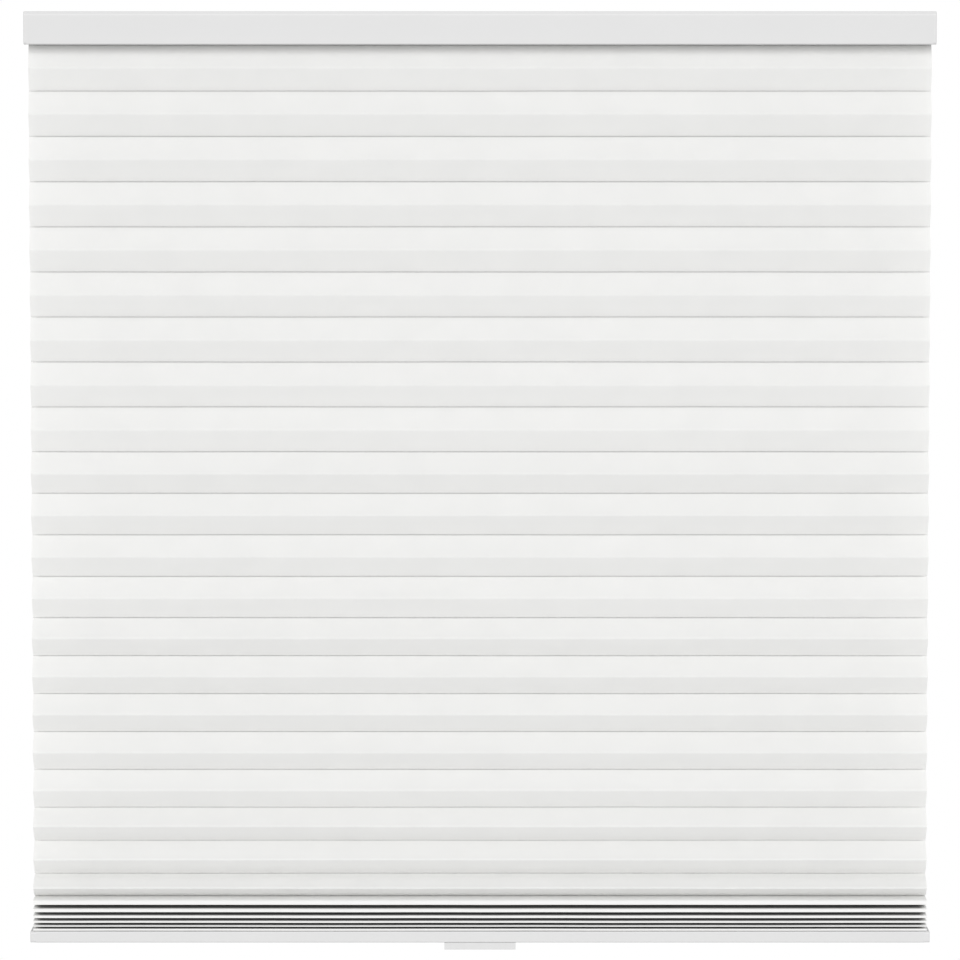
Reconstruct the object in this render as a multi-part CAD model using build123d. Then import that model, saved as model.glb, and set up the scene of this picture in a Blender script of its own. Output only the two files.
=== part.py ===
"""Cordless cellular blind: a honeycomb fabric between a headrail and a bottom rail.

Millimetres. +X is to the right, the front faces -Y, and +Z is up. The origin is on the
brackets' top plane, at the centre of their four screw holes. The blind is fully lowered.
"""

from build123d import *
import os
from math import acos, atan2, ceil, cos, degrees, hypot, pi, radians, sin, sqrt, tan

# Overall sizes
overall_width = 908.0
blind_depth = 58.0
headrail_height = 33.0
fabric_drop = 892.0
bottom_rail_height = 11.6

# Clearances
soft_gap = 0.3
slide_gap = 0.2
run_gap = 0.05

# Headrail and bottom rail sections
headrail_wall = 1.5
headrail_top_round = 4.0
headrail_bottom_round = 1.5
headrail_lip = 11.0
rail_wall = 1.2
rail_round = 1.4
slot_lip = 1.3
slot_wall = 1.2

# End caps
headrail_cap_flange = 3.0
rail_cap_flange = 6.0
cap_edge_round = 0.8
cap_corner_round = 2.5
cap_tab_length = 12.0
cap_tab_thickness = 2.0

# Fabric: a face is one half of a pleat, a glue line joins one cell to the next
fabric_wall = 0.35
fabric_side_gap = 3.0
glue_half_width = 4.0
raised_pitch = 5.0

# How far each cell hangs open, from 0, folded flat, to 1, pulled straight
first_opening = 0.924
upper_opening = 0.906
middle_openings = [0.84] * 4
lower_openings = [0.772] * 5
closing_openings = [0.676, 0.676, 0.458]
stack_openings = [0.172, 0.144, 0.112, 0.092, 0.072, 0.046]
fabric_cord_hole = 5.0

# Strips that hold the fabric in the rails
strip_width = 14.0
strip_thickness = 1.2
strip_end_gap = 1.0
strip_cord_hole = 4.0

# Lift cords
cord_diameter = 1.4
cord_inset = 154.0
cord_bend_radius = 100.0
cord_exit_past_motor = 4.0
reserve_turns = 2
coil_slack = 0.1
knot_diameter = 2.8
anchor_diameter = 9.0
anchor_thickness = 1.2

# Spring motor
gear_module = 1.5
gear_backlash = 0.4
gear_height = 3.0
pressure_angle = radians(20)
motor_floor = 1.5
motor_wall = 1.6
motor_cover_thickness = 1.5
drum_end_gap = 0.3
tooth_to_wall = 1.0
motor_side_space = 2.4
motor_headroom = 6.8
flange_height = 1.0
flange_rim = 3.3
spool_below_teeth = 5.3
spool_shell = 2.2
hub_radius = 5.0
web_height = 1.5
spring_flange_below_teeth = 4.0
spring_flange_rim = 8.0
drive_coil_build = 5.1
storage_coil_build = 2.1
spring_thickness = 0.4
spring_edge_gap = 0.5
axle_radius = 1.5
screw_boss_radius = 2.8
screw_inset = 3.8
screw_radius = 1.2
screw_head_radius = 2.5
screw_head_height = 1.2
screw_length = 8.0
cord_port_gap = 0.8

# Cord guides
pulley_rim = 1.8
pulley_rim_width = 1.0
groove_side_gap = 1.0
pulley_floor_gap = 0.6
pulley_axle_radius = 1.0
guide_length = 24.0
guide_floor = 2.0
guide_cheek = 2.5
guide_cheek_above_axle = 4.0
nozzle_wall = 1.8
nozzle_bore_gap = 1.0

# Mounting brackets
bracket_inset = 84.0
bracket_length = 24.0
bracket_sheet = 1.2
bracket_hole_radius = 2.25
bracket_hole_y = 8.0
bracket_hook = 6.0
release_tab_length = 12.0
release_tab_drop = 6.0

# Handle
handle_length = 72.0
handle_drop = 7.0
handle_depth = 20.0
handle_wall = 3.0
handle_plate = 2.2
handle_rib = 2.5
handle_edge_round = 0.4
handle_screw_x = 24.0
handle_screw_length = 5.0

# Levels and half sizes worked out from the sizes above
half_width = overall_width / 2
half_depth = blind_depth / 2
headrail_bottom = -headrail_height
rail_top = headrail_bottom - fabric_drop
rail_bottom = rail_top - bottom_rail_height
fabric_half = half_width - fabric_side_gap
opening_half = half_depth - headrail_lip
cord_drop_x = half_width - cord_inset
bracket_x = half_width - bracket_inset
face_length = half_depth - glue_half_width
slot_half = strip_width / 2 + 2 * soft_gap + fabric_wall
slot_height = strip_thickness + 2 * (2 * soft_gap + fabric_wall)
mouth_half = glue_half_width + fabric_wall + soft_gap
slot_depth = slot_lip + slot_height + slot_wall
channel_floor = headrail_bottom + slot_depth
slot_floor = rail_top - slot_depth
motor_half_width = half_depth - headrail_wall - motor_side_space
gear_room = motor_half_width - motor_wall - tooth_to_wall
gear_teeth = 2 * int(gear_room / gear_module - 1 + 1e-6)
gear_radius = gear_module * gear_teeth / 2
gear_outer = gear_radius + gear_module
drum_pitch = 2 * gear_radius
spool_radius = gear_radius - spool_below_teeth
spring_flange_radius = gear_radius - spring_flange_below_teeth
spring_drum_radius = spring_flange_radius - spring_flange_rim
drive_coil_radius = spring_drum_radius + soft_gap + drive_coil_build
storage_coil_radius = spring_drum_radius + soft_gap + storage_coil_build
motor_top = -motor_headroom
cover_bottom = motor_top - motor_cover_thickness
drum_top = cover_bottom - drum_end_gap
winding_top = drum_top - flange_height
drum_bottom = channel_floor + motor_floor + drum_end_gap
winding_bottom = drum_bottom + gear_height
motor_half_length = 1.5 * drum_pitch + gear_outer + tooth_to_wall + motor_wall
drum_x = [(place - 1.5) * drum_pitch for place in range(4)]
storage_x, drive_x, left_spool_x, right_spool_x = drum_x
cord_radius = cord_diameter / 2
cord_line_y = spool_radius + soft_gap + coil_slack + cord_radius
reserve_top = winding_top - soft_gap
reserve_bottom = reserve_top - reserve_turns * cord_diameter
cord_z = reserve_bottom + coil_slack + cord_radius
guide_floor_top = channel_floor + guide_floor
pulley_room = cord_z - guide_floor_top - pulley_floor_gap - pulley_rim - soft_gap - cord_radius
pulley_groove_radius = pulley_room / 2
pulley_outer_radius = pulley_groove_radius + pulley_rim
groove_width = cord_diameter + 2 * groove_side_gap
pulley_width = groove_width + 2 * pulley_rim_width
nozzle_bore_radius = cord_radius + nozzle_bore_gap
nozzle_radius = nozzle_bore_radius + nozzle_wall
cord_wrap_radius = pulley_groove_radius + soft_gap + cord_radius
pulley_x = cord_drop_x - cord_wrap_radius
pulley_z = cord_z - cord_wrap_radius
knot_z = slot_floor - anchor_thickness - soft_gap - knot_diameter / 2


def along_x(face, start, end):
    """Extrude a face, drawn with Y to the right and Z up, from one X to another."""
    return Pos(start, 0, 0) * extrude(Plane.YZ * face, amount=end - start)


def outline(points):
    """Fill a closed outline of (y, z) points."""
    return make_face(Polyline(*points, close=True))


def span(low, high):
    """Make a box between two corners."""
    size = [b - a for a, b in zip(low, high)]
    middle = [(a + b) / 2 for a, b in zip(low, high)]
    return Pos(*middle) * Box(*size)


def area(low, high):
    """Make a rectangle between two (y, z) corners."""
    middle = [(a + b) / 2 for a, b in zip(low, high)]
    return Pos(*middle) * Rectangle(high[0] - low[0], high[1] - low[1])


def disc(x, y, radius, bottom, top):
    """Make an upright cylinder."""
    return Pos(x, y, (bottom + top) / 2) * Cylinder(radius, top - bottom)


def rounded_area(low, high, bottom_round, top_round):
    """Make a (y, z) rectangle whose bottom and top corners have their own rounds."""
    face = area(low, high)
    rows = face.vertices().group_by(Axis.Y)
    face = fillet(rows[0], bottom_round)
    top_row = face.vertices().group_by(Axis.Y)[-1]
    return fillet(top_row, top_round)


# Rails

def strip_slot(mouth_z, direction):
    """Give the walls and the space of the slot that a fabric strip sits in."""
    def level(distance):
        return mouth_z + direction * distance

    def between(half, near, far):
        return area((-half, min(near, far)), (half, max(near, far)))

    walls = between(slot_half + slot_wall, level(0), level(slot_depth))
    room = between(slot_half, level(slot_lip), level(slot_lip + slot_height))
    mouth = between(mouth_half, level(0), level(slot_lip))
    return walls, room + mouth


def headrail_section():
    outside = rounded_area(
        (-half_depth, headrail_bottom), (half_depth, 0), headrail_bottom_round, headrail_top_round
    )
    inner_half = half_depth - headrail_wall
    inside = rounded_area(
        (-inner_half, headrail_bottom + headrail_wall),
        (inner_half, -headrail_wall),
        headrail_wall / 3,
        headrail_top_round - headrail_wall,
    )
    opening = area((-opening_half, -2 * headrail_wall), (opening_half, 0))
    walls, room = strip_slot(headrail_bottom, 1)
    return outside - inside - opening + walls - room


def make_headrail():
    end = half_width - headrail_cap_flange
    rail = along_x(headrail_section(), -end, end)
    for side in (-1, 1):
        rail -= disc(
            side * cord_drop_x, 0, nozzle_radius + slide_gap, channel_floor - slot_wall, channel_floor
        )
    return rail


def rail_section():
    outside = rounded_area(
        (-half_depth, rail_bottom), (half_depth, rail_top), rail_round, rail_round
    )
    inner_half = half_depth - rail_wall
    inside = area((-inner_half, rail_bottom + rail_wall), (inner_half, rail_top - rail_wall))
    walls, room = strip_slot(rail_top, -1)
    return outside - inside + walls - room


def make_bottom_rail():
    end = half_width - rail_cap_flange
    rail = along_x(rail_section(), -end, end)
    for side in (-1, 1):
        rail -= disc(
            side * cord_drop_x, 0, strip_cord_hole / 2, slot_floor, slot_floor + slot_wall
        )
        rail -= disc(
            side * handle_screw_x, handle_screw_y, screw_radius, rail_bottom, rail_bottom + rail_wall
        )
    return rail


def cap(side, face, flange, tabs, mouth_z, direction):
    """Make an end cap: a rounded flange, tabs that grip in the rail, and room for the fabric."""
    outer = side * half_width
    inner = side * (half_width - flange)
    body = along_x(face, min(outer, inner), max(outer, inner))
    rim = body.faces().sort_by(Axis.X)[-1 if side > 0 else 0]
    body = fillet(rim.edges(), cap_edge_round)
    reach = inner - side * cap_tab_length
    for low, high in tabs:
        body += span((min(reach, inner), *low), (max(reach, inner), *high))
    room = strip_slot(mouth_z, direction)[1]
    fabric_end = side * (fabric_half + soft_gap)
    return body - along_x(room, min(inner, fabric_end), max(inner, fabric_end))


def make_headrail_cap(side):
    face = rounded_area(
        (-half_depth, headrail_bottom), (half_depth, 0), cap_corner_round, headrail_top_round
    )
    wall_face = half_depth - headrail_wall - slide_gap
    low_z = channel_floor
    high_z = -headrail_top_round - headrail_wall
    tabs = [
        ((-wall_face, low_z), (cap_tab_thickness - wall_face, high_z)),
        ((wall_face - cap_tab_thickness, low_z), (wall_face, high_z)),
    ]
    return cap(side, face, headrail_cap_flange, tabs, headrail_bottom, 1)


def make_rail_cap(side):
    face = rounded_area(
        (-half_depth, rail_bottom), (half_depth, rail_top), cap_corner_round, cap_corner_round
    )
    near = slot_half + slot_wall + slide_gap
    far = half_depth - rail_wall - slide_gap
    low_z = rail_bottom + rail_wall + slide_gap
    high_z = rail_top - rail_wall - slide_gap
    tabs = [((-far, low_z), (-near, high_z)), ((near, low_z), (far, high_z))]
    return cap(side, face, rail_cap_flange, tabs, rail_top, -1)


# Fabric

def cell_pitches():
    """List the height of every cell, from the headrail down to the bottom rail."""
    full = 2 * face_length
    lower = middle_openings + lower_openings + closing_openings + stack_openings
    fixed = full * (first_opening + sum(lower))
    upper_height = fabric_drop - 2 * soft_gap - fixed
    upper_cells = ceil(upper_height / (full * upper_opening) - 0.3)
    upper = [upper_height / upper_cells] * upper_cells
    return [full * first_opening] + upper + [full * opening for opening in lower]


def valley_levels():
    levels = [headrail_bottom - soft_gap]
    for pitch in cell_pitches():
        levels.append(levels[-1] - pitch)
    return levels


def crest_depth(pitch):
    """How far a crest stands out from the glue line, for faces of a fixed length."""
    return sqrt(face_length ** 2 - (pitch / 2) ** 2)


def cell_space(top, bottom):
    """Give the right-hand points of the space inside one cell, from its top down."""
    half = (top - bottom) / 2
    depth = crest_depth(top - bottom)
    corner = glue_half_width - fabric_wall * (face_length - depth) / half
    crest = glue_half_width + depth - fabric_wall * face_length / half
    return [
        (corner, top - fabric_wall),
        (crest, (top + bottom) / 2),
        (corner, bottom + fabric_wall),
    ]


def head_points(valley, direction, inset):
    """Give the right-hand points of the fold that wraps a strip, from the neck to the middle."""
    lip = valley + direction * (2 * soft_gap + slot_lip)
    tip = valley + direction * (slot_lip + slot_height)
    neck = glue_half_width - inset
    side = slot_half - soft_gap - inset
    return [
        (neck, lip + direction * inset),
        (side, lip + direction * inset),
        (side, tip - direction * inset),
    ]


def mirrored(points):
    """Close a right-hand run of points with its mirror image."""
    return points + [(-y, z) for y, z in reversed(points)]


def make_fabric():
    valleys = valley_levels()
    edge = list(reversed(head_points(valleys[0], 1, 0)))
    for top, bottom in zip(valleys, valleys[1:]):
        edge.append((glue_half_width, top))
        edge.append((glue_half_width + crest_depth(top - bottom), (top + bottom) / 2))
    edge.append((glue_half_width, valleys[-1]))
    edge += head_points(valleys[-1], -1, 0)
    section = outline(mirrored(edge))
    for place, (top, bottom) in enumerate(zip(valleys, valleys[1:])):
        space = cell_space(top, bottom)
        if place == 0:
            space = list(reversed(head_points(valleys[0], 1, fabric_wall))) + space
        if place == len(valleys) - 2:
            space += head_points(valleys[-1], -1, fabric_wall)
        section -= outline(mirrored(space))
    cloth = along_x(section, -fabric_half, fabric_half)
    for side in (-1, 1):
        cloth -= disc(
            side * cord_drop_x, 0, fabric_cord_hole / 2, slot_floor, channel_floor
        )
    return cloth


def make_strip(mouth_z, direction):
    near = mouth_z + direction * (slot_lip + 2 * soft_gap + fabric_wall)
    far = near + direction * strip_thickness
    end = fabric_half - strip_end_gap
    strip = span((-end, -strip_width / 2, min(near, far)), (end, strip_width / 2, max(near, far)))
    for side in (-1, 1):
        strip -= disc(side * cord_drop_x, 0, strip_cord_hole / 2, min(near, far), max(near, far))
    return strip


# Spring motor

def involute(angle):
    return tan(angle) - angle


def gear(x, phase):
    """Make a spur gear with involute teeth, turned by a share of one tooth."""
    base_radius = gear_radius * cos(pressure_angle)
    root_radius = gear_radius - 1.25 * gear_module
    half_tooth = (pi * gear_module / 2 - gear_backlash) / (2 * gear_radius)
    flank = [(root_radius, half_tooth + involute(pressure_angle))]
    for step in range(4):
        radius = base_radius + (gear_outer - base_radius) * step / 3
        slope = acos(min(1, base_radius / radius))
        flank.append((radius, half_tooth + involute(pressure_angle) - involute(slope)))
    points = []
    for tooth in range(gear_teeth):
        middle = 2 * pi * (tooth + phase) / gear_teeth
        for radius, half in flank:
            points.append((radius * cos(middle - half), radius * sin(middle - half)))
        for radius, half in reversed(flank):
            points.append((radius * cos(middle + half), radius * sin(middle + half)))
    return Pos(x, 0, drum_bottom) * extrude(outline(points), amount=gear_height)


def bored(body, x):
    return body - disc(x, 0, axle_radius + run_gap, drum_bottom, drum_top)


def make_spool(x, phase):
    body = gear(x, phase)
    body += disc(x, 0, spool_radius, winding_bottom, winding_top)
    body += disc(x, 0, spool_radius + flange_rim, winding_top, drum_top)
    body -= disc(x, 0, spool_radius - spool_shell, winding_bottom + web_height, drum_top)
    body += disc(x, 0, hub_radius, winding_bottom, drum_top)
    return bored(body, x)


def make_drive_drum():
    body = gear(drive_x, 0)
    body += disc(drive_x, 0, spring_drum_radius, winding_bottom, winding_top)
    body += disc(drive_x, 0, spring_flange_radius, winding_top, drum_top)
    return bored(body, drive_x)


def make_storage_drum():
    body = disc(storage_x, 0, spring_flange_radius, drum_bottom, winding_bottom)
    body += disc(storage_x, 0, spring_drum_radius, winding_bottom, winding_top)
    body += disc(storage_x, 0, spring_flange_radius, winding_top, drum_top)
    return bored(body, storage_x)


def make_spring():
    """Make the flat spring: a coil on each drum and the stretch that crosses between them."""
    low = winding_bottom + spring_edge_gap
    high = winding_top - spring_edge_gap
    coils = disc(drive_x, 0, drive_coil_radius, low, high)
    coils += disc(storage_x, 0, storage_coil_radius, low, high)
    drive_line = drive_coil_radius - spring_thickness / 2
    storage_line = storage_coil_radius - spring_thickness / 2
    turn = pi + acos((drive_line + storage_line) / drum_pitch)
    start = (drive_x + drive_line * cos(turn), drive_line * sin(turn))
    end = (storage_x - storage_line * cos(turn), -storage_line * sin(turn))
    run = hypot(end[0] - start[0], end[1] - start[1])
    heading = degrees(atan2(end[1] - start[1], end[0] - start[0]))
    middle = ((start[0] + end[0]) / 2, (start[1] + end[1]) / 2, (low + high) / 2)
    coils += Pos(*middle) * Rot(0, 0, heading) * Box(run, spring_thickness, high - low)
    for x in (drive_x, storage_x):
        coils -= disc(x, 0, spring_drum_radius + soft_gap, low, high)
    return coils


def screw_places():
    x = motor_half_length - screw_inset
    y = motor_half_width - screw_inset
    return [(a, b) for a in (-x, x) for b in (-y, y)]


def make_motor_base():
    seat = half_depth - headrail_wall - slide_gap
    floor_top = channel_floor + motor_floor
    base = span(
        (-motor_half_length, -seat, channel_floor), (motor_half_length, seat, floor_top)
    )
    base += span(
        (-motor_half_length, -motor_half_width, floor_top),
        (motor_half_length, motor_half_width, cover_bottom),
    )
    room = motor_half_length - motor_wall, motor_half_width - motor_wall
    base -= span((-room[0], -room[1], floor_top), (room[0], room[1], cover_bottom))
    for x, y in screw_places():
        base += disc(x, y, screw_boss_radius, floor_top, cover_bottom)
        base -= disc(x, y, screw_radius, cover_bottom - screw_length, cover_bottom)
    for x in drum_x:
        base -= disc(x, 0, axle_radius, channel_floor, floor_top)
    port = Rot(0, 90, 0) * Cylinder(cord_radius + cord_port_gap, 2 * motor_half_length + 1)
    return base - Pos(0, cord_line_y, cord_z) * port


def make_motor_cover():
    cover = span(
        (-motor_half_length, -motor_half_width, cover_bottom),
        (motor_half_length, motor_half_width, motor_top),
    )
    for x, y in screw_places():
        cover -= disc(x, y, screw_radius, cover_bottom, motor_top)
    for x in drum_x:
        cover -= disc(x, 0, axle_radius, cover_bottom, motor_top)
    return cover


def make_axles():
    return [disc(x, 0, axle_radius, channel_floor, motor_top) for x in drum_x]


def screw(x, y, seat, direction, length):
    """Make a pan-head screw whose head rests on a level and whose shank points away from it."""
    head_end = seat - direction * screw_head_height
    tip = seat + direction * length
    body = disc(x, y, screw_head_radius, min(seat, head_end), max(seat, head_end))
    return body + disc(x, y, screw_radius, min(seat, tip), max(seat, tip))


def make_motor_screws():
    length = screw_length + motor_cover_thickness
    return [screw(x, y, motor_top, -1, length) for x, y in screw_places()]


# Cord guides and cords

def make_pulley(side):
    half = pulley_width / 2
    groove = groove_width / 2
    section = outline([
        (pulley_axle_radius + run_gap, -half),
        (pulley_outer_radius, -half),
        (pulley_groove_radius, -groove),
        (pulley_groove_radius, groove),
        (pulley_outer_radius, half),
        (pulley_axle_radius + run_gap, half),
    ])
    wheel = revolve(section, Axis.Y)
    return Pos(side * pulley_x, 0, pulley_z) * wheel


def make_cord_guide(side):
    seat = half_depth - headrail_wall - slide_gap
    x = side * pulley_x
    half = guide_length / 2
    floor_top = guide_floor_top
    cheek_near = pulley_width / 2 + soft_gap
    cheek_far = cheek_near + guide_cheek
    guide = span((x - half, -seat, channel_floor), (x + half, seat, floor_top))
    for face in (-1, 1):
        low = min(face * cheek_near, face * cheek_far)
        high = max(face * cheek_near, face * cheek_far)
        guide += span(
            (x - half, low, floor_top), (x + half, high, pulley_z + guide_cheek_above_axle)
        )
    guide += disc(side * cord_drop_x, 0, nozzle_radius, channel_floor - slot_wall, channel_floor)
    guide -= disc(side * cord_drop_x, 0, nozzle_bore_radius, channel_floor - slot_wall, floor_top)
    axle_hole = Rot(90, 0, 0) * Cylinder(pulley_axle_radius, 2 * cheek_far)
    return guide - Pos(x, 0, pulley_z) * axle_hole


def make_pulley_axles():
    length = 2 * (pulley_width / 2 + soft_gap + guide_cheek)
    pin = Rot(90, 0, 0) * Cylinder(pulley_axle_radius, length)
    return [Pos(side * pulley_x, 0, pulley_z) * pin for side in (-1, 1)]


def make_cord(side):
    """Make a lift cord: turns left on the spool, over the pulley and down to its knot."""
    spool_x = left_spool_x if side < 0 else right_spool_x
    port_x = side * (motor_half_length + cord_exit_past_motor)
    route = [
        (spool_x, cord_line_y, cord_z),
        (port_x, cord_line_y, cord_z),
        (side * cord_drop_x, 0, cord_z),
        (side * cord_drop_x, 0, knot_z),
    ]
    path = FilletPolyline(*route, radius=[cord_bend_radius, cord_wrap_radius])
    start = Plane(origin=route[0], z_dir=(side, 0, 0))
    cord = sweep(start * Circle(cord_radius), path=path)
    outer = cord_line_y + cord_radius + coil_slack
    turns = disc(spool_x, 0, outer, reserve_bottom, reserve_top)
    turns -= disc(spool_x, 0, spool_radius + soft_gap, reserve_bottom, reserve_top)
    half_knot = knot_diameter / 2
    knot = disc(side * cord_drop_x, 0, half_knot, knot_z - half_knot, knot_z + half_knot)
    knot = fillet(knot.edges().filter_by(GeomType.CIRCLE), half_knot / 2)
    print("cord", side, "length", round(path.length, 1), "radii", cord_bend_radius, cord_wrap_radius)
    print("  tube volume over section times length", cord.volume / (path.length * pi * cord_radius ** 2))
    return cord + turns + knot


def make_anchor(side):
    x = side * cord_drop_x
    button = disc(x, 0, anchor_diameter / 2, slot_floor - anchor_thickness, slot_floor)
    hole = cord_radius + soft_gap
    return button - disc(x, 0, hole, slot_floor - anchor_thickness, slot_floor)


# Brackets and handle

def make_bracket(side):
    """Make a sheet-steel clip: its plate fills the rail's opening and its hooks hold the lips."""
    x = side * bracket_x
    low_x = x - bracket_length / 2
    high_x = x + bracket_length / 2
    edge = opening_half - soft_gap
    hook_top = -headrail_wall - soft_gap
    hook_bottom = hook_top - bracket_sheet
    clip = span((low_x, -edge, -bracket_sheet), (high_x, edge, 0))
    for face in (-1, 1):
        inner = face * (edge - bracket_sheet)
        tip = face * (edge + bracket_hook)
        leg = sorted((inner, face * edge))
        foot = sorted((inner, tip))
        clip += span((low_x, leg[0], hook_bottom), (high_x, leg[1], 0))
        clip += span((low_x, foot[0], hook_bottom), (high_x, foot[1], hook_top))
        clip -= disc(x, face * bracket_hole_y, bracket_hole_radius, -bracket_sheet, 0)
    half_tab = release_tab_length / 2
    clip += span(
        (x - half_tab, edge - bracket_sheet, hook_bottom - release_tab_drop),
        (x + half_tab, edge, hook_bottom),
    )
    return clip


handle_screw_y = -half_depth + handle_wall + (handle_depth - handle_wall) / 2


def make_handle():
    half = handle_length / 2
    bottom = rail_bottom - handle_drop
    back = handle_depth - half_depth
    grip = span((-half, -half_depth, bottom), (half, back, rail_bottom))
    lowest = grip.edges().group_by(Axis.Z)[0]
    grip = fillet(lowest, handle_edge_round)
    recess = half - handle_rib
    grip -= span(
        (-recess, -half_depth + handle_wall, bottom), (recess, back, rail_bottom - handle_plate)
    )
    for side in (-1, 1):
        grip -= disc(
            side * handle_screw_x, handle_screw_y, screw_radius, rail_bottom - handle_plate, rail_bottom
        )
    return grip


def make_handle_screws():
    seat = rail_bottom - handle_plate
    return [
        screw(side * handle_screw_x, handle_screw_y, seat, 1, handle_screw_length)
        for side in (-1, 1)
    ]


def build_parts():
    parts = {
        "headrail": make_headrail(),
        "top_strip": make_strip(headrail_bottom, 1),
        "cell_fabric": make_fabric(),
        "bottom_strip": make_strip(rail_top, -1),
        "bottom_rail": make_bottom_rail(),
        "handle": make_handle(),
        "handle_screws": make_handle_screws(),
        "motor_base": make_motor_base(),
        "motor_cover": make_motor_cover(),
        "motor_screws": make_motor_screws(),
        "drum_axles": make_axles(),
        "motor_spring": make_spring(),
        "storage_drum": make_storage_drum(),
        "drive_drum": make_drive_drum(),
        "cord_spool_left": make_spool(left_spool_x, 0.5),
        "cord_spool_right": make_spool(right_spool_x, 0),
        "pulley_axles": make_pulley_axles(),
    }
    for name, side in (("left", -1), ("right", 1)):
        parts["headrail_end_cap_" + name] = make_headrail_cap(side)
        parts["bottom_rail_end_cap_" + name] = make_rail_cap(side)
        parts["mounting_bracket_" + name] = make_bracket(side)
        parts["cord_guide_" + name] = make_cord_guide(side)
        parts["guide_pulley_" + name] = make_pulley(side)
        parts["lift_cord_" + name] = make_cord(side)
        parts["cord_anchor_" + name] = make_anchor(side)
    return parts


def write_parts(parts):
    os.makedirs("parts", exist_ok=True)
    for name, shape in parts.items():
        if isinstance(shape, list):
            shape = Compound(children=shape)
        export_step(shape, "parts/" + name + ".step")


valleys = valley_levels()
open_cells = len(valleys) - 1 - len(stack_openings)
open_height = valleys[0] - valleys[open_cells]
print("cells", len(valleys) - 1, "open cells", open_cells, "open height", round(open_height, 2))
print("lift travel", round(open_height - open_cells * raised_pitch, 2))
print("pulley x", pulley_x, "pulley z", round(pulley_z, 3), "cord line y", cord_line_y)
print("drums x", drum_x, "cord z", round(cord_z, 3), "motor top", round(motor_top, 3))
write_parts(build_parts())
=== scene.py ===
"""Cordless cellular blind: fabric, cords, screws and finishes around its construction model.

Metres, in the construction model's frame: +X right, the front faces -Y, +Z up, and the origin is
on the mounting brackets' top plane.
"""

import math

import bmesh
import bpy
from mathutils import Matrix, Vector


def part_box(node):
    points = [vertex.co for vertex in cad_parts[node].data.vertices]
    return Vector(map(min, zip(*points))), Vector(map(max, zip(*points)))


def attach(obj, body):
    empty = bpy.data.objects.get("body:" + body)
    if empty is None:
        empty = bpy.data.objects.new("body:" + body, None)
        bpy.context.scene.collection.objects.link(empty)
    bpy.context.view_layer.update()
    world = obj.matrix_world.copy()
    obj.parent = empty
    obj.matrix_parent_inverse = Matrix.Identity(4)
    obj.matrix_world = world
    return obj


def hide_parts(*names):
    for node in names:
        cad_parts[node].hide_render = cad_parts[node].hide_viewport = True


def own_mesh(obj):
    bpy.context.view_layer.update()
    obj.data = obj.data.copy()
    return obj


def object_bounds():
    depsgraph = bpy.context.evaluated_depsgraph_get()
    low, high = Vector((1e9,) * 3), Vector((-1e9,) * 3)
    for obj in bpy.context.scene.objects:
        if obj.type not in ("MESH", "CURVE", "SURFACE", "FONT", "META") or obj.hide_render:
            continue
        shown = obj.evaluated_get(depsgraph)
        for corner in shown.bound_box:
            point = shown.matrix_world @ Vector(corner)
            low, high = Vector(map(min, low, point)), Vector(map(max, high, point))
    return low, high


bl_info = {
    "name": "Cellular Blind",
    "version": (1, 0, 0),
    "blender": (4, 5, 0),
    "location": "View3D > Sidebar > Blind",
    "description": "Builds the fabric, cords, screws and finishes of a cordless cellular blind",
    "category": "Object",
}

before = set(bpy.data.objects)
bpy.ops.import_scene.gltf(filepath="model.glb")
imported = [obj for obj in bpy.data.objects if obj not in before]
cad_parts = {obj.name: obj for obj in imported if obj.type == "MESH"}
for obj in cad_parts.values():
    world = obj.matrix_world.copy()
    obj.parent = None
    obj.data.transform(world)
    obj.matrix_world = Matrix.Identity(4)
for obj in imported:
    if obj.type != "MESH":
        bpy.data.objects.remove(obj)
cad_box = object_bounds()
MM = 0.001

# Painted light: near its cut ends, where light gets into the cells, the cloth is mixed towards this
# colour.
CUT_END_LIGHT = (1.0, 1.0, 0.99, 1.0)

# Packed cells' lips stand a little higher than their share of the height, but the last one's
# rests on the rail. Open cells get only a faint painted shade in their folds.
LIP_RISE = 1.5 * MM
LAST_LIP = 0.15
HIGHEST_LIP = 0.6
OPEN_FOLD_SHADE = 0.1
HAIR = 0.01 * MM  # keeps glued cells' walls apart

# Where the cords leave the motor housing, and how far their strands take to go round.
HOUSING_END = 92.1 * MM
STRAND = 1.1 * MM

# Directions that the lights shine from, towards the headrail.
KEY_PLACE = Vector((0.0, -0.95, 0.31))
TOP_PLACE = Vector((0.0, 0.25, 1.6))
TOP_SIZE = 2.0, 0.5
KEY_SPREAD = math.radians(28)
SENSOR_WIDTH = 36.0

# How far each cell hangs open, from 0, folded flat, to 1, pulled straight.
FIRST_OPENING = 0.924
UPPER_OPENING = 0.906
LOWER_OPENINGS = [0.84] * 4 + [0.772] * 5 + [0.676, 0.676, 0.458]
STACK_OPENINGS = [0.172, 0.144, 0.112, 0.092, 0.072, 0.046]


def srgb(code):
    """Turn a hex sRGB colour into linear red, green and blue."""
    parts = [int(code[place:place + 2], 16) / 255 for place in (1, 3, 5)]
    return [p / 12.92 if p <= 0.04045 else ((p + 0.055) / 1.055) ** 2.4 for p in parts]


def length_property(name, description, millimetres, low=0.0):
    return bpy.props.FloatProperty(
        name=name, description=description, default=millimetres * MM, min=low * MM,
        subtype="DISTANCE", unit="LENGTH", precision=5,
    )


def colour_property(name, description, code):
    return bpy.props.FloatVectorProperty(
        name=name, description=description, default=srgb(code), subtype="COLOR", size=3,
        min=0.0, max=1.0,
    )


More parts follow.
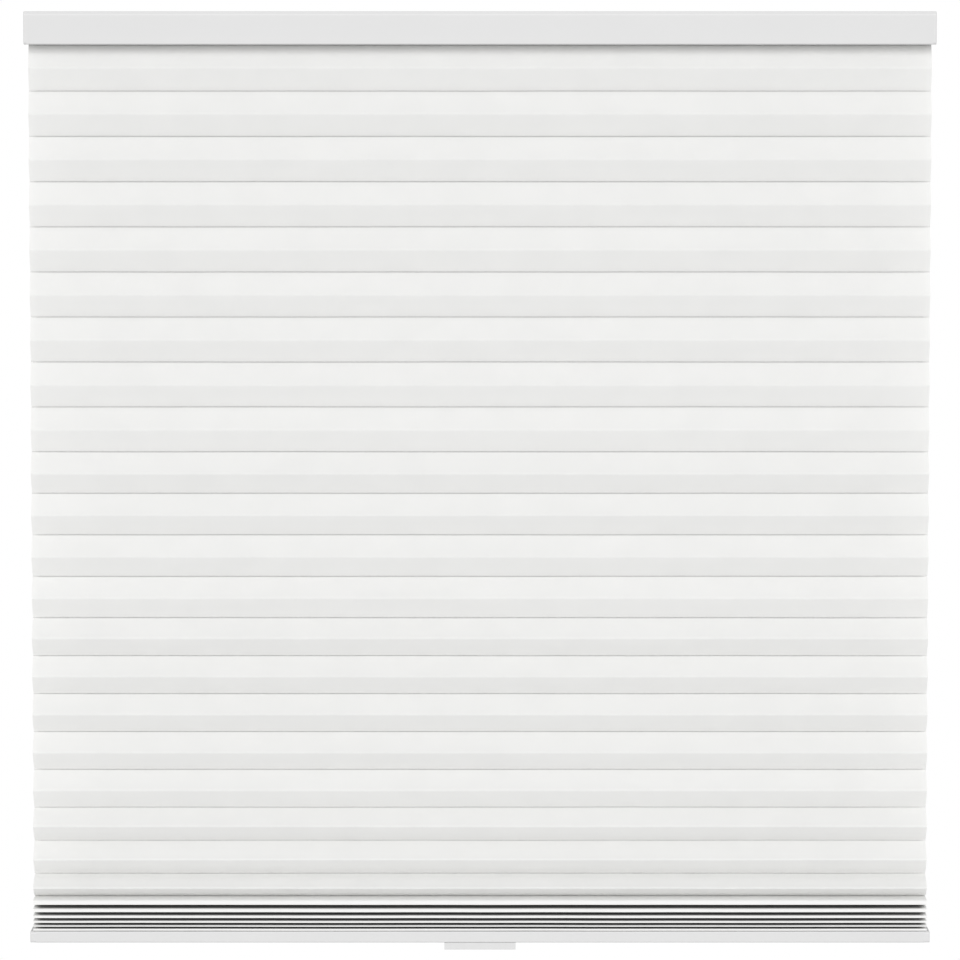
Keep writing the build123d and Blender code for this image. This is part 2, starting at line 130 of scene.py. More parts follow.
class BlindFabricSettings(bpy.types.PropertyGroup):
    """Sizes of the honeycomb fabric."""

    wall: length_property("Wall", "Thickness of the non-woven fabric", 0.35, 0.1)
    glue_half: length_property("Glue line", "Half the width of a glue line", 4.0, 0.5)
    gap: length_property("Gap", "Clearance between the fabric and a rail", 0.3)
    seam_round: length_property("Seam round", "How softly a cell leaves its glue line", 1.1)
    crease: length_property("Crease", "Half the height of a cell's folded crest", 0.7)
    bow: length_property("Bow", "How far a closed cell's faces would belly out", 2.8)
    shoulder: bpy.props.FloatProperty(
        name="Shoulder", description="How far down a packed cell's crest starts, by its height",
        default=0.03, min=0.01, max=0.45,
    )
    lip: bpy.props.FloatProperty(
        name="Lip", description="How far a packed cell's crest ends over its bottom, by its height",
        default=0.22, min=0.02, max=0.45,
    )
    wave: length_property("Wave", "How far the fabric wanders from a true fold", 0.45)
    wave_length: length_property("Wave length", "Distance from one wave to the next", 120.0, 5.0)
    steps: bpy.props.IntProperty(
        name="Steps", description="Divisions across the width", default=34, min=4, max=200,
    )
    seed: bpy.props.IntProperty(name="Seed", description="Picks the waves", default=7)


class BlindCordSettings(bpy.types.PropertyGroup):
    """Sizes of the lift cords."""

    diameter: length_property("Diameter", "Diameter of a lift cord", 1.4, 0.3)
    knot: length_property("Knot", "Diameter of the knot under the anchor", 2.8, 0.5)
    wrap: length_property("Wrap", "Cord radius over a guide pulley", 6.05, 1.0)
    spool: length_property("Spool", "Cord radius on its spool", 16.8, 2.0)
    turns: bpy.props.IntProperty(name="Turns", description="Turns left on a spool", default=2)


class BlindColours(bpy.types.PropertyGroup):
    """Colours of the finishes."""

    fabric: colour_property("Fabric", "Spun-bonded polyester", "#FBFBFA")
    # Painted shade, not adhesive: the colour that the cloth is darkened to deep in its folds and
    # slits.
    fold_shade: colour_property("Fold", "Fabric deep in its folds, with adhesive in it", "#5F5E5C")
    coat: colour_property("Rails", "Powder coat on aluminium", "#DDDDDD")
    caps: colour_property("End caps", "Moulded plastic beside the rails", "#DFDFDF")
    handle: colour_property("Handle", "Moulded plastic of the handle", "#DDDDDD")
    housing: colour_property("Housing", "Moulded plastic inside the headrail", "#DAD9D5")
    acetal: colour_property("Acetal", "Gears, spools and pulleys", "#F1EEE4")
    strip: colour_property("Strip", "Extruded strips in the rails", "#E2E5E6")
    zinc: colour_property("Zinc", "Zinc plate on the brackets and screws", "#C9CCCF")
    steel: colour_property("Steel", "Ground pins", "#B9BBBD")
    spring: colour_property("Spring", "Blued spring strip", "#7C8088")
    cord: colour_property("Cord", "Braided polyester", "#F0EFEC")
    floor: colour_property("Floor", "Studio floor", "#FAFAFA")


class BlindStageSettings(bpy.types.PropertyGroup):
    """Camera, floor and light."""

    distance: bpy.props.FloatProperty(
        name="Distance", description="From the camera to the blind's plane", default=5.1,
        subtype="DISTANCE", unit="LENGTH",
    )
    pitch: bpy.props.FloatProperty(
        name="Pitch", description="How far the camera looks down", default=math.radians(5),
        subtype="ANGLE", unit="ROTATION",
    )
    aim: bpy.props.FloatProperty(
        name="Aim", description="Height that the camera looks at", default=-0.4701,
        subtype="DISTANCE", unit="LENGTH",
    )
    lens: bpy.props.FloatProperty(
        name="Lens", description="Focal length in millimetres on a 36 mm sensor", default=190.57,
    )
    drop: bpy.props.FloatProperty(
        name="Floor drop", description="How far the floor lies under the blind", default=0.55,
        subtype="DISTANCE", unit="LENGTH",
    )
    reach: bpy.props.FloatProperty(
        name="Floor reach", description="How far the floor goes to each side", default=2.4,
        subtype="DISTANCE", unit="LENGTH",
    )
    sky: bpy.props.FloatProperty(
        name="Surround", description="Light from the white surround, next to how white it looks",
        default=0.565,
    )
    key: bpy.props.FloatProperty(
        name="Key", description="Strength of the broad soft light over the camera", default=1.45,
    )
    top: bpy.props.FloatProperty(
        name="Top", description="Power of the light over the headrail, in watts", default=6.0,
    )


def settings():
    return bpy.context.scene


# Nodes and meshes

def add_node(tree, kind, inputs=None, **choices):
    """Add a node, set its choices, and fill or link its inputs, given by name or number."""
    node = tree.nodes.new(kind)
    for name, value in choices.items():
        setattr(node, name, value)
    for key, value in (inputs or {}).items():
        socket = node.inputs[key]
        if isinstance(value, bpy.types.NodeSocket):
            tree.links.new(value, socket)
        else:
            socket.default_value = value
    return node


def rgba(colour):
    return (*colour, 1.0)


def new_mesh(name, vertices, edges=(), faces=()):
    mesh = bpy.data.meshes.new(name)
    mesh.from_pydata([tuple(v) for v in vertices], list(edges), list(faces))
    mesh.update()
    thing = bpy.data.objects.new(name, mesh)
    bpy.context.scene.collection.objects.link(thing)
    return thing


def from_bmesh(name, shape):
    mesh = bpy.data.meshes.new(name)
    shape.to_mesh(mesh)
    shape.free()
    thing = bpy.data.objects.new(name, mesh)
    bpy.context.scene.collection.objects.link(thing)
    return thing


def flatten(thing):
    """Turn an object and its modifiers into one plain mesh at the origin."""
    bpy.context.view_layer.update()
    graph = bpy.context.evaluated_depsgraph_get()
    mesh = bpy.data.meshes.new_from_object(
        thing.evaluated_get(graph), preserve_all_data_layers=True, depsgraph=graph,
    )
    thing.modifiers.clear()
    thing.data = mesh
    return thing


def paint(thing, material):
    thing.data.materials.clear()
    thing.data.materials.append(material)
    return thing


def smooth(thing, angle):
    """Shade smoothly, but keep edges sharper than the angle crisp."""
    for polygon in thing.data.polygons:
        polygon.use_smooth = True
    thing.data.set_sharp_from_angle(angle=angle)
    return thing


def run_tree(thing, tree, values):
    """Put a Geometry Nodes tree on an object and set its inputs by their identifiers."""
    modifier = thing.modifiers.new(tree.name, "NODES")
    modifier.node_group = tree
    for item in tree.interface.items_tree:
        if item.item_type == "SOCKET" and item.in_out == "INPUT" and item.name in values:
            modifier[item.identifier] = values[item.name]
    return modifier


def new_tree(name, inputs):
    """Start a Geometry Nodes tree with named inputs of (name, socket type)."""
    tree = bpy.data.node_groups.new(name, "GeometryNodeTree")
    tree.interface.new_socket("Geometry", in_out="OUTPUT", socket_type="NodeSocketGeometry")
    tree.interface.new_socket("Geometry", in_out="INPUT", socket_type="NodeSocketGeometry")
    for label, kind in inputs:
        tree.interface.new_socket(label, in_out="INPUT", socket_type=kind)
    return tree


# Materials: each is named for what the real one is and how its surface was made

def surface(name, colour, roughness, metallic=0.0, **levels):
    """Start a material with one Principled shader; levels set its other sockets."""
    material = bpy.data.materials.new(name)
    material.use_nodes = True
    tree = material.node_tree
    shader = next(node for node in tree.nodes if node.type == "BSDF_PRINCIPLED")
    shader.inputs["Base Color"].default_value = rgba(colour)
    shader.inputs["Roughness"].default_value = roughness
    shader.inputs["Metallic"].default_value = metallic
    for key, value in levels.items():
        shader.inputs[key.replace("_", " ")].default_value = value
    return material, tree, shader


def grain(tree, scale_mm, detail=2.0, stretch=(1, 1, 1), vector=None):
    """Noise whose features are about scale_mm across, on the piece's own coordinates."""
    if vector is None:
        vector = add_node(tree, "ShaderNodeTexCoord").outputs["Object"]
    mapped = add_node(tree, "ShaderNodeMapping", {"Vector": vector, "Scale": stretch})
    return add_node(
        tree, "ShaderNodeTexNoise",
        {"Vector": mapped.outputs["Vector"], "Scale": 1 / (scale_mm * MM), "Detail": detail},
    ).outputs["Fac"]


def shade(colour, factor):
    return [channel * factor for channel in colour]


def mottle(tree, shader, colour, darkest, patch_mm, detail=2.0):
    """Cloud a colour with slightly darker patches."""
    patches = add_node(
        tree, "ShaderNodeMapRange", {0: grain(tree, patch_mm, detail), 1: 0.3, 2: 0.7},
    )
    mix = add_node(
        tree, "ShaderNodeMix",
        {0: patches.outputs[0], 6: rgba(shade(colour, darkest)), 7: rgba(colour)}, data_type="RGBA",
    )
    tree.links.new(mix.outputs[2], shader.inputs["Base Color"])


def skin(tree, shader, pattern, depth_mm, smoothest, roughest):
    """Let one fine pattern both raise a surface and break up its shine."""
    raised = add_node(
        tree, "ShaderNodeBump", {"Height": pattern, "Distance": depth_mm * MM, "Strength": 0.5},
    )
    tree.links.new(raised.outputs["Normal"], shader.inputs["Normal"])
    shine = add_node(
        tree, "ShaderNodeMapRange", {0: pattern, 1: 0.2, 2: 0.8, 3: smoothest, 4: roughest},
    )
    tree.links.new(shine.outputs[0], shader.inputs["Roughness"])


def spun_polyester(colours):
    """Spun-bonded polyester: soft and matt, with faint clouds of fibre, and light comes through.

    Fibres are about 0.02 mm across, too fine to show, so they are drawn in bundles of 0.9 mm.
    """
    material, tree, shader = surface(
        "spun_bonded_polyester", colours.fabric, 0.95, Sheen_Weight=0.15, Sheen_Roughness=0.6,
        Specular_IOR_Level=0.25,
    )
    cloth, fold_shade, packed = (
        add_node(
            tree, "ShaderNodeAttribute", attribute_name=name, attribute_type="GEOMETRY",
        ).outputs
        for name in ("cloth", "fold_shade", "packed")
    )
    clouds = grain(tree, 38, 3.0, vector=cloth["Vector"])
    cloudy = add_node(tree, "ShaderNodeMapRange", {0: clouds, 1: 0.35, 2: 0.65})
    base = add_node(
        tree, "ShaderNodeMix",
        {0: cloudy.outputs[0], 6: rgba(shade(colours.fabric, 0.985)), 7: rgba(colours.fabric)},
        data_type="RGBA",
    )

    # The cut ends let light in, and this is painted: the painted shade in the folds stops short of
    # them, and the cloth is painted lighter over its last 60 mm and its last 8 mm.
    across = add_node(tree, "ShaderNodeSeparateXYZ", {0: cloth["Vector"]}).outputs["X"]
    beside = add_node(tree, "ShaderNodeMath", {0: across}, operation="ABSOLUTE").outputs[0]
    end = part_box("cell_fabric")[1].x
    wide, narrow, cut = (
        add_node(
            tree, "ShaderNodeMapRange",
            {0: beside, 1: end - start * MM, 2: end - stop * MM, 3: first, 4: last},
        ).outputs[0]
        for start, stop, first, last in ((60, 0, 0.0, 0.22), (8, 0, 0.0, 0.35), (7, 1, 1.0, 0.0))
    )
    end_light = add_node(tree, "ShaderNodeMath", {0: wide, 1: narrow}, operation="ADD")
    # Painted shade: the cloth is darkened deep in its folds, less so towards the cut ends.
    deep_shade = add_node(tree, "ShaderNodeMath", {0: fold_shade["Fac"], 1: cut}, operation="MULTIPLY")
    for amount, colour in (
        (deep_shade.outputs[0], rgba(colours.fold_shade)), (end_light.outputs[0], CUT_END_LIGHT),
    ):
        base = add_node(
            tree, "ShaderNodeMix", {0: amount, 6: base.outputs[2], 7: colour}, data_type="RGBA",
        )
    tree.links.new(base.outputs[2], shader.inputs["Base Color"])

    fibres = grain(tree, 0.9, 3.0, stretch=(0.35, 1, 1), vector=cloth["Vector"])
    raised = add_node(
        tree, "ShaderNodeBump", {"Height": fibres, "Distance": 0.05 * MM, "Strength": 0.6},
    )
    tree.links.new(raised.outputs["Normal"], shader.inputs["Normal"])

    glow = add_node(tree, "ShaderNodeBsdfTranslucent", {"Color": base.outputs[2]})
    through = add_node(tree, "ShaderNodeMapRange", {0: packed["Fac"], 3: 0.22, 4: 0.10})
    mixed = add_node(
        tree, "ShaderNodeMixShader",
        {0: through.outputs[0], 1: shader.outputs[0], 2: glow.outputs[0]},
    )
    output = next(node for node in tree.nodes if node.type == "OUTPUT_MATERIAL")
    tree.links.new(mixed.outputs[0], output.inputs["Surface"])
    return material


def powder_coat(colours):
    """White powder coat, baked on aluminium: satin, with a fine orange peel of about 1.2 mm."""
    material, tree, shader = surface("white_powder_coat", colours.coat, 0.42)
    mottle(tree, shader, colours.coat, 0.985, 60)
    skin(tree, shader, grain(tree, 1.2, 1.0), 0.02, 0.38, 0.47)
    return material


def moulded_plastic(name, colour, roughness, grit_mm):
    """Injection-moulded plastic: its tool's spark-eroded grit breaks up the shine."""
    material, tree, shader = surface(name, colour, roughness)
    mottle(tree, shader, colour, 0.975, 14)
    skin(tree, shader, grain(tree, grit_mm, 2.0), 0.02, roughness - 0.05, roughness + 0.06)
    return material


def plated_metal(name, colour, roughness, stretch):
    """Rolled or drawn metal: lines run along the rolling direction, and the plate is cloudy."""
    material, tree, shader = surface(name, colour, roughness, 1.0)
    mottle(tree, shader, colour, 0.86, 5, 3.0)
    lines = grain(tree, 0.5, 3.0, stretch=stretch)
    skin(tree, shader, lines, 0.01, roughness - 0.08, roughness + 0.1)
    return material


def braided_cord(colours):
    """Braided polyester cord: two sets of strands cross about every 1.1 mm."""
    material, tree, shader = surface("braided_polyester", colours.cord, 0.8, Sheen_Weight=0.1)
    strands = add_node(
        tree, "ShaderNodeAttribute", attribute_name="braid", attribute_type="GEOMETRY",
    ).outputs["Vector"]
    weave = add_node(
        tree, "ShaderNodeTexChecker",
        {"Vector": strands, "Scale": 1.0, "Color1": rgba(shade(colours.cord, 0.82)),
         "Color2": rgba(colours.cord)},
    ).outputs
    tree.links.new(weave["Color"], shader.inputs["Base Color"])
    raised = add_node(
        tree, "ShaderNodeBump", {"Height": weave["Fac"], "Distance": 0.08 * MM, "Strength": 0.6},
    )
    tree.links.new(raised.outputs["Normal"], shader.inputs["Normal"])
    return material


def studio_floor(colours):
    """Pale studio floor: matt paint with a faint roller texture of about 40 mm."""
    material, tree, shader = surface("matt_floor_paint", colours.floor, 0.9)
    mottle(tree, shader, colours.floor, 0.99, 40)
    return material


# Fabric

def rounded(corners, trims, steps, hold, longest, bow=0.0):
    """Round each corner of a closed outline with a quadratic curve and divide its long runs.

    A point stands one hold away from each round, so the shading of a flat face stays flat. Runs
    that are longer than twice the longest step bow outwards.
    """
    count = len(corners)
    points = []
    for place in range(count):
        corner, before, after = (Vector(corners[(place + step) % count]) for step in (0, -1, 1))
        next_trim = min(trims[(place + 1) % count], (after - corner).length / 2)
        back, ahead = (before - corner).normalized(), (after - corner).normalized()
        start = corner + back * min(trims[place], (before - corner).length / 2)
        end = corner + ahead * min(trims[place], (after - corner).length / 2)
        for step in range(steps + 1):
            t = step / steps
            points.append(start * (1 - t) ** 2 + corner * 2 * t * (1 - t) + end * t ** 2)
        stop = after - ahead * next_trim
        room = (stop - end).length
        near = min(hold, room / 3)
        first, last = end + ahead * near, stop - ahead * near
        pieces = max(1, math.ceil((last - first).length / longest))
        outward = Vector((-ahead.y, ahead.x)) * (4 * bow if room > 2 * longest else 0.0)
        for piece in range(pieces + 1):
            t = piece / pieces
            points.append(first.lerp(last, t) + outward * t * (1 - t))
    kept = [points[0]]
    for point in points[1:]:
        if (point - kept[-1]).length > HAIR:
            kept.append(point)
    return kept


def cell_levels(fabric):
    """Work out the height of each glue line from the rails and the cells' openings."""
    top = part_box("headrail")[0].z - fabric.gap
    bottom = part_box("bottom_rail")[1].z + fabric.gap
    full = 2 * face_length(fabric)
    lower = [full * opening for opening in LOWER_OPENINGS + STACK_OPENINGS]
    first = full * FIRST_OPENING
    rest = top - bottom - first - sum(lower)
    count = math.ceil(rest / (full * UPPER_OPENING) - 0.3)
    levels = [top]
    for pitch in [first] + [rest / count] * count + lower:
        levels.append(levels[-1] - pitch)
    return levels


def face_length(fabric):
    return (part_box("headrail")[1].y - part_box("headrail")[0].y) / 2 - fabric.glue_half


def cell_outline(fabric, top, bottom, packed, last):
    """Give one cell's closed section of (y, z) points, clockwise from its upper glue line.

    A packed cell's crest droops: its shoulder is soft, and its lip is crisp.
    """
    height = top - bottom
    face = face_length(fabric)
    crest = fabric.glue_half + math.sqrt(face ** 2 - (height / 2) ** 2)
    if packed:
        lip = height * LAST_LIP if last else height * fabric.lip + LIP_RISE
        lip = min(lip, height * HIGHEST_LIP)
        upper, lower = top - height * fabric.shoulder, bottom + lip
        rounds = height * 0.5, height * 0.1
    else:
        upper, lower = (top + bottom) / 2 + fabric.crease, (top + bottom) / 2 - fabric.crease
        rounds = fabric.crease, fabric.crease
    seam = min(fabric.seam_round, height / 3)
    glue = fabric.glue_half
    right = [(glue, top), (crest, upper), (crest, lower), (glue, bottom)]
    left = [(-y, z) for y, z in reversed(right)]
    trims = [seam, *rounds, seam, seam, *reversed(rounds), seam]
    if packed:
        return rounded(right + left, trims, 4, fabric.seam_round, 3 * MM)
    bow = fabric.bow * (1 - height / (2 * face))
    return rounded(right + left, trims, 4, fabric.seam_round, 5 * MM, bow)


def fold_shade_weight(point, outline, fabric, packed, first):
    """Say how much painted shade a point of the cloth gets for lying deep in its folds, from 0 to
    1.
    """
    if not packed:
        return OPEN_FOLD_SHADE * max(0.0, 1 - (abs(point.x) - fabric.glue_half) / fabric.seam_round)
    crest = max(abs(other.x) for other in outline)
    middle = (outline[0].y + min(other.y for other in outline)) / 2
    if first and point.y > middle:
        return 0.0
    return min(1.0, max(0.0, (crest - abs(point.x)) / (3 * MM) - 0.2))


def sections_mesh(name, outlines, packed, fabric):
    """Make closed outlines into loose loops, with the cloth's run and the painted shade of its
    folds stored.

    They lie flat, as a sweep along X wants its sections: back to front along X, height down Y.
    """
    vertices, edges, run, fold_shade = [], [], [], []
    for points in outlines:
        first = len(vertices)
        distance = run[-1] if run else 0.0
        for place, point in enumerate(points):
            distance += (point - points[place - 1]).length if place else 0.0
            vertices.append((-point.x, -point.y, 0.0))
            run.append(distance)
            fold_shade.append(fold_shade_weight(point, points, fabric, packed, points is outlines[0]))
        count = len(points)
        edges += [(first + place, first + (place + 1) % count) for place in range(count)]
    thing = new_mesh(name, vertices, edges)
    for label, values in (("run", run), ("fold_shade", fold_shade), ("packed", [float(packed)] * len(run))):
        attribute = thing.data.attributes.new(label, "FLOAT", "POINT")
        attribute.data.foreach_set("value", values)
    return thing


def fabric_tree():
    """Sweep loose sections along X, let them wander a little, and store where the cloth is."""
    tree = new_tree("fabric_sweep", [
        ("Width", "NodeSocketFloat"), ("Steps", "NodeSocketInt"), ("Wave", "NodeSocketFloat"),
        ("Wave length", "NodeSocketFloat"), ("Seed", "NodeSocketInt"),
        ("Material", "NodeSocketMaterial"),
    ])
    given = add_node(tree, "NodeGroupInput").outputs
    start, end = (
        add_node(
            tree, "ShaderNodeVectorMath", {0: (share, 0.0, 0.0), "Scale": given["Width"]},
            operation="SCALE",
        ).outputs[0]
        for share in (-0.5, 0.5)
    )
    line = add_node(tree, "GeometryNodeCurvePrimitiveLine", {"Start": start, "End": end})
    path = add_node(
        tree, "GeometryNodeResampleCurve", {"Curve": line.outputs[0], "Count": given["Steps"]},
    )
    loops = add_node(tree, "GeometryNodeMeshToCurve", {"Mesh": given["Geometry"]})
    swept = add_node(
        tree, "GeometryNodeCurveToMesh",
        {"Curve": path.outputs[0], "Profile Curve": loops.outputs[0], "Fill Caps": False},
    )

    # Where each point lies on the flat cloth: across it, and along its run.
    place = add_node(tree, "GeometryNodeInputPosition").outputs[0]
    across = add_node(tree, "ShaderNodeSeparateXYZ", {0: place}).outputs["X"]
    run = add_node(tree, "GeometryNodeInputNamedAttribute", {"Name": "run"}, data_type="FLOAT")
    cloth = add_node(tree, "ShaderNodeCombineXYZ", {"X": across, "Y": run.outputs[0]})
    stored = add_node(
        tree, "GeometryNodeStoreNamedAttribute",
        {"Geometry": swept.outputs[0], "Name": "cloth", "Value": cloth.outputs[0]},
        data_type="FLOAT_VECTOR", domain="POINT",
    )

    # Long low waves move the cloth forwards and up, but never along the blind.
    rate = add_node(tree, "ShaderNodeMath", {0: 1.0, 1: given["Wave length"]}, operation="DIVIDE")
    squeezed = add_node(
        tree, "ShaderNodeVectorMath", {0: place, 1: (1.0, 2.0, 3.0)}, operation="MULTIPLY",
    )
    noise = add_node(
        tree, "ShaderNodeTexNoise",
        {"Vector": squeezed.outputs[0], "W": given["Seed"], "Scale": rate.outputs[0],
         "Detail": 1.0},
        noise_dimensions="4D",
    )
    centred = add_node(
        tree, "ShaderNodeVectorMath", {0: noise.outputs["Color"], 1: (0.5, 0.5, 0.5)},
        operation="SUBTRACT",
    )
    sideless = add_node(
        tree, "ShaderNodeVectorMath", {0: centred.outputs[0], 1: (0.0, 2.0, 1.2)},
        operation="MULTIPLY",
    )
    moved = add_node(
        tree, "ShaderNodeVectorMath", {0: sideless.outputs[0], "Scale": given["Wave"]},
        operation="SCALE",
    )
    wavy = add_node(
        tree, "GeometryNodeSetPosition",
        {"Geometry": stored.outputs[0], "Offset": moved.outputs[0]},
    )
    real = add_node(tree, "GeometryNodeRealizeInstances", {"Geometry": wavy.outputs[0]})
    dressed = add_node(
        tree, "GeometryNodeSetMaterial",
        {"Geometry": real.outputs[0], "Material": given["Material"]},
    )
    add_node(tree, "NodeGroupOutput", {"Geometry": dressed.outputs[0]})
    return tree


def make_cloth(name, outlines, packed, width, fabric, material):
    """Sweep the sections, give them the fabric's thickness and turn them into a plain mesh."""
    thing = sections_mesh(name, outlines, packed, fabric)
    tree = bpy.data.node_groups.get("fabric_sweep") or fabric_tree()
    run_tree(thing, tree, {
        "Width": width, "Steps": fabric.steps + 1, "Wave": fabric.wave,
        "Wave length": fabric.wave_length, "Seed": fabric.seed, "Material": material,
    })
    flatten(thing)
    face_outwards(thing)
    wall = thing.modifiers.new("wall", "SOLIDIFY")
    wall.thickness = fabric.wall
    wall.offset = -1
    flatten(thing)
    return smooth(paint(thing, material), math.radians(50))


def face_outwards(thing):
    shape = bmesh.new()
    shape.from_mesh(thing.data)
    bmesh.ops.remove_doubles(shape, verts=shape.verts, dist=1e-6)
    shape.normal_update()
    top = max(shape.faces, key=lambda face: face.calc_center_median().z)
    if top.normal.z < 0:
        bmesh.ops.reverse_faces(shape, faces=shape.faces)
    shape.to_mesh(thing.data)
    shape.free()


def wrap_outline(fabric, mouth, direction):
    """Give the section of the folded cloth that wraps a strip inside a rail's slot."""
    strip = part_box("top_strip" if direction > 0 else "bottom_strip")
    clear = fabric.gap + fabric.wall
    side = strip[1].y + clear
    low = strip[0].z - clear
    high = strip[1].z + clear
    glue = fabric.glue_half
    neck = low if direction > 0 else high
    tip = high if direction > 0 else low
    right = [(glue, mouth), (glue, neck), (side, neck), (side, tip)]
    left = [(-y, z) for y, z in reversed(right)]
    points = right + left
    if direction < 0:
        points = [(-y, z) for y, z in points]
    return rounded(points[::-1], [0.3 * MM] * 8, 2, 0.3 * MM, 7 * MM)


def build_fabric():
    fabric = settings().blind_fabric
    colours = settings().blind_colours
    material = spun_polyester(colours)
    levels = cell_levels(fabric)
    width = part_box("cell_fabric")[1].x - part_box("cell_fabric")[0].x
    open_count = len(levels) - 1 - len(STACK_OPENINGS)
    cells = list(zip(levels, levels[1:]))
    outlines = [
        cell_outline(
            fabric, top - HAIR, bottom + HAIR, packed=place >= open_count,
            last=place == len(cells) - 1,
        )
        for place, (top, bottom) in enumerate(cells)
    ]

    cloth = make_cloth("pleat_cells", outlines[:open_count], False, width, fabric, material)
    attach(cloth, "headrail")
    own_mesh(cloth)
    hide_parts("cell_fabric")

    stack = make_cloth("pleat_stack", outlines[open_count:], True, width, fabric, material)
    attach(stack, "bottom_rail")
    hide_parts("cell_fabric")

    for name, mouth, direction, body in (
        ("fabric_wrap_top", levels[0], 1, "headrail"),
        ("fabric_wrap_bottom", levels[-1], -1, "bottom_rail"),
    ):
        points = wrap_outline(fabric, mouth, direction)
        wrap = make_cloth(name, [points], True, width, fabric, material)
        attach(wrap, body)
        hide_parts("cell_fabric")


# Lift cords

def turn_points(centre, radius, start, quarters, rise, level):
    """Give weighted control points for quarter turns of a helix, so that they are true arcs."""
    points = []
    step = math.copysign(math.pi / 2, quarters)
    for quarter in range(abs(quarters)):
        angle = start + quarter * step
        for share, reach, weight in ((0.0, 1.0, 1.0), (0.5, math.sqrt(2), math.sqrt(0.5))):
            along = angle + share * step
            points.append((
                centre.x + radius * reach * math.cos(along),
                centre.y + radius * reach * math.sin(along),
                level + rise * (quarter + share) / 4,
                weight,
            ))
    end = start + quarters * math.pi / 2
    points.append((
        centre.x + radius * math.cos(end), centre.y + radius * math.sin(end),
        level + rise * abs(quarters) / 4, 1.0,
    ))
    return points


def cord_curve(name, points):
    """Make a curve of the second order through weighted control points."""
    curve = bpy.data.curves.new(name, "CURVE")
    curve.dimensions = "3D"
    curve.resolution_u = 10
    spline = curve.splines.new("NURBS")
    spline.points.add(len(points) - 1)
    for point, place in zip(spline.points, points):
        point.co = place
    spline.order_u = 3
    spline.use_endpoint_u = True
    thing = bpy.data.objects.new(name, curve)
    bpy.context.scene.collection.objects.link(thing)
    return thing


def cord_tree():
    """Sweep a round cord along a curve, and store how its strands run along and around it."""
    tree = new_tree("cord_sweep", [
        ("Radius", "NodeSocketFloat"), ("Strand", "NodeSocketFloat"),
        ("Material", "NodeSocketMaterial"),
    ])
    given = add_node(tree, "NodeGroupInput").outputs
    length = add_node(tree, "GeometryNodeSplineParameter").outputs["Length"]
    along = add_node(
        tree, "GeometryNodeStoreNamedAttribute",
        {"Geometry": given["Geometry"], "Name": "along", "Value": length},
        data_type="FLOAT", domain="POINT",
    )
    ring = add_node(
        tree, "GeometryNodeCurvePrimitiveCircle", {"Resolution": 10, "Radius": given["Radius"]},
    )
    part = add_node(tree, "GeometryNodeSplineParameter").outputs["Factor"]
    around = add_node(
        tree, "GeometryNodeStoreNamedAttribute",
        {"Geometry": ring.outputs[0], "Name": "around", "Value": part},
        data_type="FLOAT", domain="POINT",
    )
    tube = add_node(
        tree, "GeometryNodeCurveToMesh",
        {"Curve": along.outputs[0], "Profile Curve": around.outputs[0], "Fill Caps": True},
    )
    run, turn = (
        add_node(
            tree, "GeometryNodeInputNamedAttribute", {"Name": name}, data_type="FLOAT",
        ).outputs[0]
        for name in ("along", "around")
    )
    lengths = add_node(tree, "ShaderNodeMath", {0: run, 1: given["Strand"]}, operation="DIVIDE")
    rounds = add_node(tree, "ShaderNodeMath", {0: turn, 1: 4.0}, operation="MULTIPLY")
    # One set of strands climbs to the left and the other to the right.
    left, right = (
        add_node(
            tree, "ShaderNodeMath", {0: lengths.outputs[0], 1: rounds.outputs[0]}, operation=way,
        ).outputs[0]
        for way in ("ADD", "SUBTRACT")
    )
    braid = add_node(tree, "ShaderNodeCombineXYZ", {"X": left, "Y": right})
    stored = add_node(
        tree, "GeometryNodeStoreNamedAttribute",
        {"Geometry": tube.outputs[0], "Name": "braid", "Value": braid.outputs[0]},
        data_type="FLOAT_VECTOR", domain="POINT",
    )
    real = add_node(tree, "GeometryNodeRealizeInstances", {"Geometry": stored.outputs[0]})
    dressed = add_node(
        tree, "GeometryNodeSetMaterial",
        {"Geometry": real.outputs[0], "Material": given["Material"]},
    )
    add_node(tree, "NodeGroupOutput", {"Geometry": dressed.outputs[0]})
    return tree


def make_cord(name, points, cord, material):
    thing = cord_curve(name, points)
    tree = bpy.data.node_groups.get("cord_sweep") or cord_tree()
    run_tree(thing, tree, {"Radius": cord.diameter / 2, "Strand": STRAND, "Material": material})
    bpy.context.view_layer.update()
    graph = bpy.context.evaluated_depsgraph_get()
    mesh = bpy.data.meshes.new_from_object(
        thing.evaluated_get(graph), preserve_all_data_layers=True, depsgraph=graph
    )
    bpy.data.objects.remove(thing)
    piece = bpy.data.objects.new(name, mesh)
    bpy.context.scene.collection.objects.link(piece)
    return smooth(paint(piece, material), math.radians(60))


